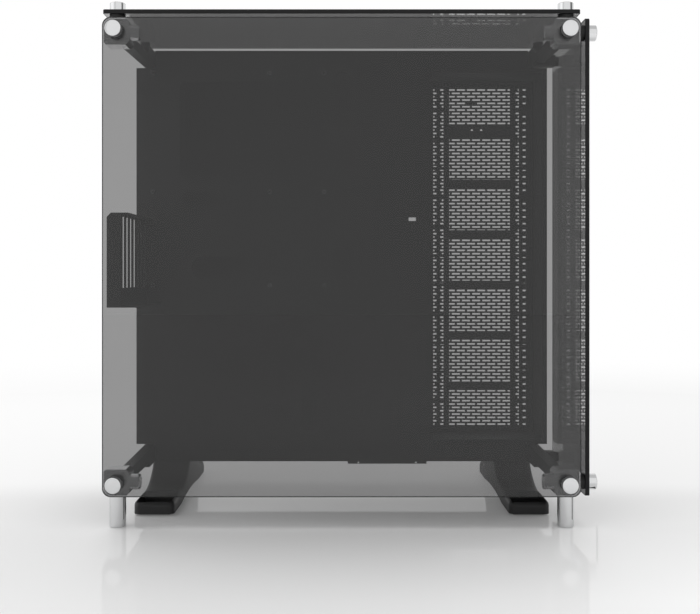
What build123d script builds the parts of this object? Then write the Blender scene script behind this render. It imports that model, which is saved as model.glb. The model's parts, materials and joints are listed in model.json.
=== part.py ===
from build123d import *
import os

# Open-frame computer case. A folded steel tray stands upright on two feet. Four corner brackets
# reach forward from its corners and carry a front, a top and a side pane of tempered glass.
# While modelling, x runs to the right from the middle of the tray, y runs back from the face of
# the front pane and z runs up from the floor. Export moves the origin to the middle of the base.

# Glass panes
pane_thickness = 5.0
pane_edge_chamfer = 0.4
front_pane_side_margin = 14.3
front_pane_end_margin = 14.9
front_pane_corner = 10.0
flank_pane_margin = 14.8
flank_pane_setback = 6.0
flank_pane_corner = 2.5
pane_hole_radius = 4.5

# Tray and chassis
bay_depth = 178.0
tray_width = 546.0
tray_height = 546.0
tray_bottom = 43.5
chassis_depth = 80.0
sheet = 1.2
notch_width = 25.0
notch_height = 23.0
rim_width = 12.0

# Pane fixings: chrome knobs on M6 shanks, rubber washers, corner blocks
fixing_inset = 13.0
fixing_drop = 4.4
knob_radius = 9.2
knob_height = 9.5
knob_chamfer = 0.8
shank_radius = 3.0
shank_depth = 9.0
shank_clearance = 0.15
washer_radius = 9.2
washer_thickness = 3.5
flank_washer_thickness = 4.6
block_size = 31.0
block_depth = 23.5
block_chamfer = 4.0
cross_axis_setback = 8.5
nut_radius = 9.0
nut_height = 11.4
nut_rounding = 2.0

# Bracket arms
arm_width = 13.0
arm_inner_drop = 11.0
arm_outer_rise = 3.0
arm_tongue = 22.0
post_start = 111.0
post_curve = 12.0
pad_setback = 7.0
pad_radius = 6.3
lug_length = 14.0

# Chrome front legs
leg_radius = 9.5
leg_chamfer = 1.0

# Feet
foot_width = 49.0
foot_inset = 21.0
toe_front = 64.0
toe_rear = 328.0
toe_height = 18.5
toe_nose_radius = 8.0
toe_plan_radius = 7.0
toe_curve_reach = 59.0
heel_curve_reach = 45.0
toe_flat = 60.0
foot_seat_margin = 4.0
foot_arch = 4.0
foot_wall = 5.0
toe_pocket_depth = 12.0
toe_pocket_length = 44.0
foot_pad_length = 42.0
foot_pad_thickness = 2.0
foot_pad_margin = 6.0

# Radiator well, its fan plate and the perforated cover behind it
well_width = 149.0
well_end_margin = 29.0
well_side_margin = 6.5
well_depth = 61.0
well_lip = 3.0
window_count = 7
window_top_margin = 36.9
window_pitch = 70.3
window_width = 84.8
window_height = 58.3
end_window_height = 52.8
fan_hole_small = 105.0
fan_hole_large = 124.5
fan_slot_width = 4.6
fan_slot_count = 12
fan_slot_pitch = 40.5
fan_slot_bridge = 4.0
fan_slot_rise = 1.7
plate_hole_radius = 1.75
plate_hole_gap = 13.0
plate_hole_shift = 4.2
plate_hole_margin = 10.4
rivet_hole_radius = 1.1
rivet_hole_inset = 2.6
rivet_hole_drop = 130.0
vent_slot_length = 11.3
vent_slot_height = 2.3
vent_pitch_x = 14.3
vent_pitch_z = 4.72
vent_rows = 101
vent_shift = 5.0
vent_columns = 7
vent_blank = (4, 2)
cover_split_margin = 5.5
cover_sheet = 1.0
cover_gap = 1.0

# Card slot bracket
slot_count = 7
slot_pitch = 20.32
slot_first_y = 50.0
slot_opening_width = 11.0
slot_opening_height = 85.0
slot_opening_rise = 23.0
slot_wall_inset = 11.7
slot_wall_drop = 224.5
slot_wall_height = 112.0
slot_wall_front = 34.7
slot_flange = 15.5
slot_flange_chamfer = 5.0
slot_rear_flange = 11.0
slot_screw_inset = 6.0
slot_screw_offset = 20.0
screw_head_radius = 3.0
screw_head_height = 2.0
screw_shank_radius = 1.5
screw_clearance = 0.2
screw_grip = 3.0
slot_shelf = 21.0
slot_ledge = 10.0

# Motherboard fixing grid
board_side_inset = 12.0
board_top_inset = 19.8
board_hole_inset = 10.2
board_columns = (0.0, 154.94, 227.33)
board_rows = (0.0, 157.48, 281.94)
standoff_height = 6.5
standoff_flats = 5.5
standoff_bore = 1.5

# Cut-outs in the tray, placed right of the board's left edge and below its top edge
cpu_cut_width = 170.0
cpu_cut_height = 125.0
cpu_cut_right = 131.0
cpu_cut_down = 84.2
cpu_cut_corner = 8.0
grommet_lip = 4.0
grommet_lip_thickness = 1.6
grommet_web = 2.0
grommet_places = {
    "grommet_upper": (262.0, 45.2, 27.0, 78.0),
    "grommet_middle": (264.0, 263.7, 30.0, 78.0),
    "grommet_lower": (218.0, 451.7, 26.0, 70.0),
    "grommet_wide": (99.0, 268.7, 78.0, 34.0),
}
cable_slot = (75.0, 177.2, 52.0, 21.0)
tie_slot_length = 12.0
tie_slot_height = 4.0
tie_slot_places = ((88.0, 157.7), (152.4, 157.7), (206.1, 157.7), (218.0, 369.7), (301.0, 99.7))
sight_slot_width = 9.6
sight_slot_height = 4.7
sight_slot_right = 354.8
sight_slot_down = 204.2
sight_cover_shift = (6.0, 4.5)
sight_cover_margin = 6.0

# Power supply fixing holes
supply_hole_span_x = 138.0
supply_hole_span_z = 64.0
supply_hole_right = 131.0
supply_hole_rise = 106.5
supply_hole_radius = 1.75

# Drive tray
drive_tray_width = 105.0
drive_tray_height = 146.0
drive_tray_gap = 0.3
drive_tray_lip = 3.5
drive_tray_side = 12.0
drive_lip_notch = 1.2
drive_slot_clearance = 0.6
drive_hole_span_x = 76.6
drive_hole_span_z = 61.7
drive_hole_radius = 1.75

# Port panel with its buttons, let into the upper wall of the chassis
port_panel_length = 128.0
port_panel_width = 26.0
port_panel_depth = 14.0
port_panel_margin = 73.5
port_bezel = 1.2
port_bezel_border = 3.0
port_inset = 1.6
usb_length = 13.2
usb_width = 5.8
jack_radius = 1.8
power_button_radius = 6.0
reset_button_radius = 2.5
button_gap = 0.3
button_rise = 1.6
button_length = 8.0
button_flange = 1.2
button_flange_height = 1.5
button_travel = 1.5
port_places = {"usb": (-48.0, -31.0, -14.0, 3.0), "audio": (16.0, 26.0)}
power_button_offset = 40.0
reset_button_offset = 54.5

# Cover screws
cover_screw_radius = 5.0
cover_screw_height = 7.0
cover_screw_shank = 1.6
cover_screw_spacing = 360.0
cable_screw_shift = 10.5

# Places worked out from the sizes above
tray_front = pane_thickness + bay_depth
tray_back = tray_front + chassis_depth
tray_mid_z = tray_bottom + tray_height / 2
tray_top = tray_bottom + tray_height
tray_right = tray_width / 2
fixing_span = tray_width - 2 * fixing_inset
fixing_rise = tray_height - 2 * fixing_inset
fixing_mid_z = tray_mid_z - fixing_drop
fixing_x = fixing_span / 2
fixing_low_z = fixing_mid_z - fixing_rise / 2
fixing_high_z = fixing_mid_z + fixing_rise / 2
front_pane_width = fixing_span + 2 * front_pane_side_margin
front_pane_height = fixing_rise + 2 * front_pane_end_margin
block_front = pane_thickness + washer_thickness
block_rear = block_front + block_depth
cross_axis_y = block_front + cross_axis_setback
block_top = fixing_high_z + block_size / 2
block_base = fixing_low_z - block_size / 2
block_side = fixing_x + block_size / 2
block_inner = fixing_x - block_size / 2
top_pane_under = block_top + flank_washer_thickness
side_pane_inner = block_side + flank_washer_thickness
flank_pane_depth = tray_front - flank_pane_setback
arm_inner_x = tray_right - notch_width
arm_mid_x = arm_inner_x + arm_width / 2
arm_outer_x = arm_inner_x + arm_width
post_front = block_rear + post_start
pad_y = post_front + pad_setback
foot_mid_x = tray_right - foot_inset - foot_width / 2
well_floor = tray_front + well_depth
well_centre_x = tray_right - well_side_margin - well_width / 2
well_centre_z = tray_mid_z
well_height = tray_height - 2 * well_end_margin
window_top = tray_top - window_top_margin
vent_centre_x = well_centre_x + vent_shift
cover_front = tray_back
cover_split_x = well_centre_x - well_width / 2 - cover_split_margin
slot_wall_x = slot_wall_inset - tray_right
slot_wall_bottom = tray_top - slot_wall_drop - slot_wall_height
slot_opening_bottom = slot_wall_bottom + slot_opening_rise
board_left = board_side_inset - tray_right
board_top = tray_top - board_top_inset
drive_tray_left = well_centre_x - well_width / 2 - sheet - well_lip - drive_tray_gap - drive_tray_width
port_panel_x = well_centre_x - well_width / 2 - port_panel_margin - port_panel_length / 2
row_origin_x = ((side_pane_inner + pane_thickness + knob_height) + (slot_wall_x - slot_flange)) / 2
row_origin_y = (toe_rear - knob_height) / 2

parts = {}


def add(name, *shapes):
    """Keep the shapes as one named sub-part."""
    parts[name] = shapes[0] if len(shapes) == 1 else Compound(children=list(shapes))


def plate(face, front, thickness):
    """Solid of a face drawn in x and z, from y = front back through thickness."""
    return extrude(Plane.XZ.offset(-front) * face, amount=thickness, dir=(0, 1, 0))


def bar(profile, start, width):
    """Solid of a profile drawn in y and z, from x = start to the right by width."""
    return extrude(Plane.YZ.offset(start) * profile, amount=width, dir=(1, 0, 0))


def block(x_range, y_range, z_range):
    """Box between two limits on each axis."""
    size = [high - low for low, high in (x_range, y_range, z_range)]
    middle = [(high + low) / 2 for low, high in (x_range, y_range, z_range)]
    return Pos(*middle) * Box(*size)


def rod(centre, direction, radius, length):
    """Round rod that starts at centre and runs along direction."""
    return extrude(Plane(origin=centre, z_dir=direction) * Circle(radius), amount=length)


def ring(centre, direction, outer, inner, length):
    """Round washer that starts at centre and runs along direction."""
    return extrude(Plane(origin=centre, z_dir=direction) * (Circle(outer) - Circle(inner)), amount=length)


def glass_pane(length, depth, corner, holes, plane):
    """Rounded pane drawn on a plane, with round holes and a fine chamfer along its outline."""
    outline = RectangleRounded(length, depth, corner)
    for x, y in holes:
        outline -= Pos(x, y) * Circle(pane_hole_radius)
    pane = extrude(plane * outline, amount=pane_thickness)
    broad_faces = pane.faces().filter_by(Axis(plane.origin, plane.z_dir))
    rims = [edge for face in broad_faces for edge in face.outer_wire().edges()]
    return chamfer(rims, pane_edge_chamfer)


def make_panes():
    """Front, top and side panes with the holes for their knobs."""
    across = (-fixing_span / 2, fixing_span / 2)
    upright = (-fixing_rise / 2, fixing_rise / 2)
    front_holes = [(x, z) for x in across for z in upright]
    front_plane = Plane((0, pane_thickness, fixing_mid_z), x_dir=(1, 0, 0), z_dir=(0, -1, 0))
    front = glass_pane(front_pane_width, front_pane_height, front_pane_corner, front_holes, front_plane)
    add("front_glass", front)
    flank_mid_y = flank_pane_setback + flank_pane_depth / 2
    hole_y = cross_axis_y - flank_mid_y
    top_plane = Plane((0, flank_mid_y, top_pane_under), x_dir=(1, 0, 0), z_dir=(0, 0, 1))
    top_holes = [(x, hole_y) for x in across]
    top_length = fixing_span + 2 * flank_pane_margin
    add("top_glass", glass_pane(top_length, flank_pane_depth, flank_pane_corner, top_holes, top_plane))
    side_plane = Plane((side_pane_inner, flank_mid_y, fixing_mid_z), x_dir=(0, 1, 0), z_dir=(1, 0, 0))
    side_holes = [(hole_y, z) for z in upright]
    side_length = fixing_rise + 2 * flank_pane_margin
    add("side_glass", glass_pane(flank_pane_depth, side_length, flank_pane_corner, side_holes, side_plane))


def knob(centre, direction, spacer):
    """Knob on a shank that passes through the pane and a washer, spacer thick, into the block."""
    head = rod(centre, direction, knob_radius, knob_height)
    head = chamfer(head.edges().sort_by(Axis(centre, direction))[-1], knob_chamfer)
    inward = [-value for value in direction]
    return head + rod(centre, inward, shank_radius, pane_thickness + spacer + shank_depth)


def washer(centre, direction, thickness):
    """Rubber washer that starts at centre, with a clearance hole for the shank."""
    return ring(centre, direction, washer_radius, shank_radius + shank_clearance, thickness)


def make_fixings():
    """Knobs, washers, rear pads and the cap nuts on the inner sides of the blocks."""
    corners = [(x, z) for x in (-fixing_x, fixing_x) for z in (fixing_low_z, fixing_high_z)]
    add("front_knobs", *[knob((x, 0, z), (0, -1, 0), washer_thickness) for x, z in corners])
    add("front_washers", *[washer((x, pane_thickness, z), (0, 1, 0), washer_thickness) for x, z in corners])
    spacer = flank_washer_thickness
    sides = (-fixing_x, fixing_x)
    top_face = top_pane_under + pane_thickness
    add("top_knobs", *[knob((x, cross_axis_y, top_face), (0, 0, 1), spacer) for x in sides])
    add("top_washers", *[washer((x, cross_axis_y, block_top), (0, 0, 1), spacer) for x in sides])
    add("top_pads", *[rod((x, pad_y, block_top), (0, 0, 1), pad_radius, spacer)
                      for x in (-arm_mid_x, arm_mid_x)])
    side_face = side_pane_inner + pane_thickness
    heights = (fixing_low_z, fixing_high_z)
    add("side_knobs", *[knob((side_face, cross_axis_y, z), (1, 0, 0), spacer) for z in heights])
    add("side_washers", *[washer((block_side, cross_axis_y, z), (1, 0, 0), spacer) for z in heights])
    pad_drop = (arm_inner_drop - arm_outer_rise) / 2
    add("side_pads", *[rod((block_side, pad_y, z), (1, 0, 0), pad_radius, spacer)
                       for z in (fixing_low_z + pad_drop, fixing_high_z - pad_drop)])
    add("block_nuts", *[cap_nut(side, z) for side in (-1, 1) for z in heights])


def cap_nut(side, z):
    """Round nut with a domed rim and a stud, on the inner side of a block."""
    centre = (side * block_inner, cross_axis_y, z)
    head = rod(centre, (-side, 0, 0), nut_radius, nut_height)
    head = fillet(head.edges().sort_by(Axis(centre, (-side, 0, 0)))[-1], nut_rounding)
    return head + rod(centre, (side, 0, 0), shank_radius, shank_depth)


def arm_profile(level, axis_z):
    """Side outline of an arm, from the block to the end of its tongue in the tray's notch."""
    seat_z = tray_top - notch_height if level > 0 else tray_bottom + notch_height
    post_z = block_top if level > 0 else tray_bottom
    rise_z = axis_z + level * arm_outer_rise
    tongue_end = tray_front + arm_tongue
    points = [
        (block_rear, axis_z - level * arm_inner_drop),
        (tray_front, seat_z),
        (tongue_end, seat_z),
        (tongue_end, post_z),
        (post_front, post_z),
        (post_front, rise_z),
        (block_rear, rise_z),
    ]
    outline = make_face(Polyline(points, close=True))
    root = outline.vertices().sort_by_distance((post_front, rise_z))[0]
    return fillet(root, min(post_curve, abs(post_z - rise_z) * 0.9))


def corner_bracket(side, level):
    """Corner block with its arm, drilled for the shanks, the nut, the leg and the tray screw."""
    axis_z = fixing_high_z if level > 0 else fixing_low_z
    head = Box(block_size, block_depth, block_size)
    head = chamfer(head.edges().filter_by(Axis.Y), block_chamfer)
    head = Pos(side * fixing_x, (block_front + block_rear) / 2, axis_z) * head
    arm_start = arm_inner_x if side > 0 else -arm_outer_x
    body = head + bar(arm_profile(level, axis_z), arm_start, arm_width)
    if side > 0:
        inner_z = axis_z - level * arm_inner_drop
        outer_z = axis_z + level * arm_outer_rise
        lug_y = (pad_y - lug_length / 2, pad_y + lug_length / 2)
        body += block((arm_inner_x, block_side), lug_y, (min(inner_z, outer_z), max(inner_z, outer_z)))
    bore = shank_radius + shank_clearance
    depth = shank_depth + shank_clearance
    body -= rod((side * fixing_x, block_front, axis_z), (0, 1, 0), bore, depth)
    body -= rod((side * block_inner, cross_axis_y, axis_z), (side, 0, 0), bore, depth)
    body -= rod((side * fixing_x, cross_axis_y, axis_z + level * block_size / 2), (0, 0, -level), bore, depth)
    if side > 0:
        body -= rod((block_side, cross_axis_y, axis_z), (-1, 0, 0), bore, depth)
    screw_y = tray_front + arm_tongue / 2
    screw_start = (side * arm_outer_x, screw_y, bracket_screw_z(level))
    body -= rod(screw_start, (-side, 0, 0), screw_shank_radius + screw_clearance, arm_width)
    return body


def bracket_screw_z(level):
    """Height of the screw that holds a bracket's tongue to the side of the notch."""
    if level > 0:
        return (tray_top - notch_height + block_top) / 2
    return tray_bottom + notch_height / 2


def pan_screw(centre, direction, grip):
    """Pan-head screw whose head sits at centre and whose shank runs back along direction."""
    backward = [-value for value in direction]
    head = rod(centre, direction, screw_head_radius, screw_head_height)
    return head + rod(centre, backward, screw_shank_radius, grip)


def make_brackets():
    """Four corner brackets and the screws that hold them to the tray."""
    names = {(-1, 1): "bracket_top_left", (1, 1): "bracket_top_right",
             (-1, -1): "bracket_bottom_left", (1, -1): "bracket_bottom_right"}
    for (side, level), name in names.items():
        add(name, corner_bracket(side, level))
    screw_y = tray_front + arm_tongue / 2
    add("bracket_screws", *[pan_screw((side * arm_outer_x, screw_y, bracket_screw_z(level)), (side, 0, 0),
                                      arm_width + screw_grip) for side, level in names])


def make_legs():
    """Round front legs screwed up into the lower blocks."""
    for side, name in ((-1, "leg_left"), (1, "leg_right")):
        foot = (side * fixing_x, cross_axis_y, 0)
        leg = rod(foot, (0, 0, 1), leg_radius, block_base)
        leg = chamfer(leg.edges().sort_by(Axis.Z)[0], leg_chamfer)
        add(name, leg + rod((side * fixing_x, cross_axis_y, block_base), (0, 0, 1), shank_radius, shank_depth))


def foot_profile():
    """Side outline of a foot: long toe, swept seat under the tray, heel and arched sole."""
    seat_front = tray_front + foot_seat_margin
    seat_rear = tray_back - foot_seat_margin
    toe_end = (seat_front - toe_curve_reach, toe_height)
    heel_end = (seat_rear + heel_curve_reach, toe_height)
    sole = foot_pad_thickness
    arch_start = (toe_rear - toe_flat, sole)
    arch_end = (toe_front + toe_flat, sole)
    arch_top = ((arch_start[0] + arch_end[0]) / 2, sole + foot_arch)
    lines = [
        Line((toe_front, sole), (toe_front, toe_height)),
        Line((toe_front, toe_height), toe_end),
        TangentArc(toe_end, (seat_front, tray_bottom), tangent=(1, 0)),
        Line((seat_front, tray_bottom), (seat_rear, tray_bottom)),
        TangentArc(heel_end, (seat_rear, tray_bottom), tangent=(-1, 0)),
        Line(heel_end, (toe_rear, toe_height)),
        Line((toe_rear, toe_height), (toe_rear, sole)),
        Line((toe_rear, sole), arch_start),
        ThreePointArc(arch_start, arch_top, arch_end),
        Line(arch_end, (toe_front, sole)),
    ]
    outline = make_face(lines)
    noses = [outline.vertices().sort_by_distance((y, toe_height))[0] for y in (toe_front, toe_rear)]
    return fillet(noses, toe_nose_radius)


def make_feet():
    """Two moulded feet with a pocket in the toe and rubber pads under toe and heel."""
    pads = []
    for side, name in ((-1, "foot_left"), (1, "foot_right")):
        start = side * foot_mid_x - foot_width / 2
        foot = bar(foot_profile(), start, foot_width)
        for end in (0, -1):
            uprights = foot.edges().filter_by(Axis.Z).group_by(Axis.Y)[end]
            foot = fillet(uprights, toe_plan_radius)
        pocket_y = (toe_front + toe_nose_radius + foot_wall, toe_front + toe_nose_radius + toe_pocket_length)
        pocket_x = (start + foot_wall, start + foot_width - foot_wall)
        foot -= block(pocket_x, pocket_y, (toe_height - toe_pocket_depth, toe_height))
        add(name, foot)
        pad_x = (start + foot_pad_margin, start + foot_width - foot_pad_margin)
        for low in (toe_front + toe_plan_radius, toe_rear - toe_plan_radius - foot_pad_length):
            pads.append(block(pad_x, (low, low + foot_pad_length), (0, foot_pad_thickness)))
    add("foot_pads", *pads)


def notched_points(inset):
    """Outline of the tray in x and z about its middle, notched at its corners and pulled in by inset."""
    a = tray_width / 2 - inset
    b = a - notch_width
    c = tray_height / 2 - inset
    d = c - notch_height
    return [(-b, -c), (b, -c), (b, -d), (a, -d), (a, d), (b, d),
            (b, c), (-b, c), (-b, d), (-a, d), (-a, -d), (-b, -d)]


def notched_face(inset):
    """Face of the tray's outline, placed at the tray's height."""
    return Pos(0, tray_mid_z) * make_face(Polyline(notched_points(inset), close=True))


def slot_face(x, z, length, height):
    """Round-ended cut-out of the given overall size."""
    turned = 0 if length >= height else 90
    return Pos(x, z) * SlotOverall(max(length, height), min(length, height), rotation=turned)


def hole_grid(x, z, span_x, span_z, radius):
    """Four round holes on a rectangle."""
    return [Pos(x + i * span_x / 2, z + j * span_z / 2) * Circle(radius) for i in (-1, 1) for j in (-1, 1)]


def cover_screw_places():
    """Centres in x and z of the thumbscrews along the rim, for the cable cover and the vent cover."""
    edge_x = tray_right - rim_width / 2
    edge_z = tray_height / 2 - rim_width / 2
    pair = (-cover_screw_spacing / 2, cover_screw_spacing / 2)
    cable = [(-edge_x, tray_mid_z + z) for z in pair]
    cable_x = (cover_split_x - tray_right) / 2 + cable_screw_shift
    cable += [(cable_x, tray_mid_z + z) for z in (-edge_z, edge_z)]
    vent = [(edge_x, tray_mid_z + z) for z in pair]
    vent += [(well_centre_x, tray_mid_z + z) for z in (-edge_z, edge_z)]
    return cable, vent


def from_board(right, down):
    """Place in x and z, measured from the board's upper left corner."""
    return board_left + right, board_top - down


def make_tray():
    """Folded tray, whose walls follow the notches, and the flat rim welded onto them at the back."""
    front_face = notched_face(0)
    front_face -= Pos(well_centre_x, well_centre_z) * Rectangle(well_width, well_height)
    cpu_cut = RectangleRounded(cpu_cut_width, cpu_cut_height, cpu_cut_corner)
    front_face -= Pos(*from_board(cpu_cut_right, cpu_cut_down)) * cpu_cut
    for right, down, length, height in list(grommet_places.values()) + [cable_slot]:
        front_face -= slot_face(*from_board(right, down), length, height)
    for right, down in tie_slot_places:
        front_face -= Pos(*from_board(right, down)) * Rectangle(tie_slot_length, tie_slot_height)
    sight_slot = Rectangle(sight_slot_width, sight_slot_height)
    front_face -= Pos(*from_board(sight_slot_right, sight_slot_down)) * sight_slot
    supply_x = board_left + supply_hole_right
    supply_z = tray_bottom + supply_hole_rise
    front_face -= hole_grid(supply_x, supply_z, supply_hole_span_x, supply_hole_span_z, supply_hole_radius)
    screw_bore = screw_shank_radius + screw_clearance
    front_face -= [Pos(x, z) * Circle(screw_bore) for x, z in slot_screw_places()]
    walls = notched_face(0) - notched_face(sheet)
    rim = notched_face(0) - notched_face(rim_width)
    cable, vent = cover_screw_places()
    rim -= [Pos(x, z) * Circle(cover_screw_shank + screw_clearance) for x, z in cable + vent]
    tray = plate(front_face, tray_front, sheet)
    tray += plate(walls, tray_front, chassis_depth - sheet)
    for side in (-1, 1):
        for level in (-1, 1):
            start = (side * arm_inner_x, tray_front + arm_tongue / 2, bracket_screw_z(level))
            tray -= rod(start, (-side, 0, 0), screw_bore, sheet)
    drive_x = (drive_tray_left - drive_slot_clearance, drive_tray_left + drive_tray_width + drive_slot_clearance)
    slot_y = (tray_front + sheet, tray_front + 2 * sheet + drive_slot_clearance)
    tray -= block(drive_x, slot_y, (tray_bottom, tray_bottom + sheet))
    panel_x = (port_panel_x - port_panel_length / 2, port_panel_x + port_panel_length / 2)
    panel_mid_y = tray_front + chassis_depth / 2
    panel_y = (panel_mid_y - port_panel_width / 2, panel_mid_y + port_panel_width / 2)
    tray -= block(panel_x, panel_y, (tray_top - sheet, tray_top))
    add("tray_panel", tray)
    add("tray_rim", plate(rim, tray_back - sheet, sheet))


def windows():
    """Middle height and height of each window in the fan plate, from the top down."""
    places = []
    for i in range(window_count):
        height = end_window_height if i in (0, window_count - 1) else window_height
        places.append((window_top - i * window_pitch - height / 2, height))
    return places


def make_fan_plate():
    """Folded well behind the tray, whose floor has windows and slots for fans and radiators."""
    floor_face = Pos(well_centre_x, well_centre_z) * Rectangle(well_width, well_height)
    floor_face -= [Pos(well_centre_x, z) * Rectangle(window_width, height) for z, height in windows()]
    slot_length = fan_slot_pitch - fan_slot_bridge
    first = well_centre_z + fan_slot_rise - (fan_slot_count - 1) / 2 * fan_slot_pitch
    columns = [side * span / 2 for span in (fan_hole_small, fan_hole_large) for side in (-1, 1)]
    floor_face -= [Pos(well_centre_x + x, first + i * fan_slot_pitch) * Rectangle(fan_slot_width, slot_length)
                   for x in columns for i in range(fan_slot_count)]
    hole_z = window_top - window_pitch + plate_hole_margin
    hole_x = well_centre_x - plate_hole_shift
    floor_face -= [Pos(hole_x + side * plate_hole_gap / 2, hole_z) * Circle(plate_hole_radius) for side in (-1, 1)]
    rivet_x = well_centre_x - well_width / 2 + rivet_hole_inset
    floor_face -= [Pos(rivet_x, z) * Circle(rivet_hole_radius) for z in (hole_z, hole_z - rivet_hole_drop)]
    outer = Pos(well_centre_x, well_centre_z) * Rectangle(well_width + 2 * sheet, well_height + 2 * sheet)
    inner = Pos(well_centre_x, well_centre_z) * Rectangle(well_width, well_height)
    border = sheet + well_lip
    lip = Pos(well_centre_x, well_centre_z) * Rectangle(well_width + 2 * border, well_height + 2 * border) - inner
    wall_front = tray_front + sheet
    well = plate(floor_face, well_floor, sheet)
    well += plate(outer - inner, wall_front, well_floor + sheet - wall_front)
    well += plate(lip, wall_front, sheet)
    add("fan_plate", well)


def vent_slots():
    """Centres in x and z of the slots of one long brick pattern, where they lie behind a window."""
    centres = []
    for row in range(vent_rows):
        z = well_centre_z + ((vent_rows - 1) / 2 - row) * vent_pitch_z
        if any(abs(z - middle) < (height + vent_slot_height) / 2 for middle, height in windows()):
            count = vent_columns - row % 2
            centres += [(vent_centre_x + (i - (count - 1) / 2) * vent_pitch_x, z)
                        for i in range(count) if (row, i) != vent_blank]
    return centres


def cover_face(side):
    """Outline of one rear cover, split from the other along an upright line."""
    split = cover_split_x + side * cover_gap / 2
    half = Pos(split + side * tray_width / 2, tray_mid_z) * Rectangle(tray_width, tray_height)
    return notched_face(cover_gap / 2) & half


def rectangle_wire(x, z, length, height):
    """Closed outline of an upright rectangle."""
    corners = [(x + i * length / 2, z + j * height / 2) for i, j in ((-1, -1), (1, -1), (1, 1), (-1, 1))]
    return Wire.make_polygon([Vector(*corner) for corner in corners], close=True)


def circle_wire(x, z, radius):
    """Closed outline of a round hole."""
    return Wire.make_circle(radius, Plane((x, z, 0)))


def make_covers():
    """Rear covers of the cable chamber and of the well, the second perforated in a brick pattern."""
    cable_screws, vent_screws = cover_screw_places()
    bore = cover_screw_shank + screw_clearance
    cable_face = cover_face(-1)
    cable_face -= [Pos(x, z) * Circle(bore) for x, z in cable_screws]
    sight_x, sight_z = from_board(sight_slot_right, sight_slot_down)
    shift_x, shift_z = sight_cover_shift
    cable_face -= slot_face(sight_x + shift_x, sight_z + shift_z, sight_slot_width + sight_cover_margin,
                            sight_slot_height + sight_cover_margin)
    add("cable_cover", plate(cable_face, cover_front, cover_sheet))
    holes = [rectangle_wire(x, z, vent_slot_length, vent_slot_height) for x, z in vent_slots()]
    holes += [circle_wire(x, z, bore) for x, z in vent_screws]
    vent_face = Face(cover_face(1).faces()[0].outer_wire(), holes)
    add("vent_cover", plate(vent_face, cover_front, cover_sheet))
    outside = cover_front + cover_sheet
    screws = []
    for x, z in cable_screws + vent_screws:
        head = rod((x, outside, z), (0, 1, 0), cover_screw_radius, cover_screw_height)
        shank_length = cover_sheet + sheet + screw_grip
        screws.append(head + rod((x, outside, z), (0, -1, 0), cover_screw_shank, shank_length))
    add("cover_screws", *screws)


def slot_screw_places():
    """Centres in x and z of the two screws that hold the card slot bracket to the tray."""
    x = slot_wall_x - slot_screw_inset
    top = slot_wall_bottom + slot_wall_height
    return [(x, slot_wall_bottom + slot_screw_offset), (x, top - slot_screw_offset)]


def make_slot_bracket():
    """Folded bracket that holds expansion cards upright and parallel to the tray."""
    top = slot_wall_bottom + slot_wall_height
    depth = (slot_wall_front, tray_front)
    height = (slot_wall_bottom, top)
    bracket = block((slot_wall_x, slot_wall_x + sheet), depth, height)
    for i in range(slot_count):
        y = slot_first_y + i * slot_pitch
        opening = (y - slot_opening_width / 2, y + slot_opening_width / 2)
        bracket -= block((slot_wall_x, slot_wall_x + sheet), opening,
                         (slot_opening_bottom, slot_opening_bottom + slot_opening_height))
    front = block((slot_wall_x - slot_flange, slot_wall_x + sheet), (slot_wall_front, slot_wall_front + sheet), height)
    corner = (slot_wall_x - slot_flange, slot_wall_front, top)
    outer_top = front.edges().filter_by(Axis.Y).sort_by_distance(corner)[0]
    bracket += chamfer(outer_top, slot_flange_chamfer)
    bracket += block((slot_wall_x, slot_wall_x + slot_shelf), depth, (slot_wall_bottom, slot_wall_bottom + sheet))
    bracket += block((slot_wall_x, slot_wall_x + slot_ledge), depth, (top - sheet, top))
    rear_x = (slot_wall_x - slot_rear_flange, slot_wall_x + sheet)
    bracket += block(rear_x, (tray_front - sheet, tray_front), height)
    for x, z in slot_screw_places():
        bracket -= rod((x, tray_front - sheet, z), (0, 1, 0), screw_shank_radius + screw_clearance, sheet)
    add("slot_bracket", bracket)
    add("slot_screws", *[pan_screw((x, tray_front - sheet, z), (0, -1, 0), 2 * sheet + screw_grip)
                         for x, z in slot_screw_places()])


def grommet(right, down, length, height):
    """Rubber edging of a cable cut-out, with a lip in front of and behind the tray's sheet."""
    x, z = from_board(right, down)
    hole = slot_face(x, z, length - 2 * grommet_web, height - 2 * grommet_web)
    lip = slot_face(x, z, length + 2 * grommet_lip, height + 2 * grommet_lip) - hole
    web = slot_face(x, z, length, height) - hole
    edging = plate(web, tray_front, sheet)
    edging += plate(lip, tray_front - grommet_lip_thickness, grommet_lip_thickness)
    return edging + plate(lip, tray_front + sheet, grommet_lip_thickness)


def standoff(x, z):
    """Hexagonal spacer that stands on the tray and takes one motherboard screw."""
    hexagon = RegularPolygon(standoff_flats / 2, 6, major_radius=False) - Circle(standoff_bore)
    return plate(Pos(x, z) * hexagon, tray_front - standoff_height, standoff_height)


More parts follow.
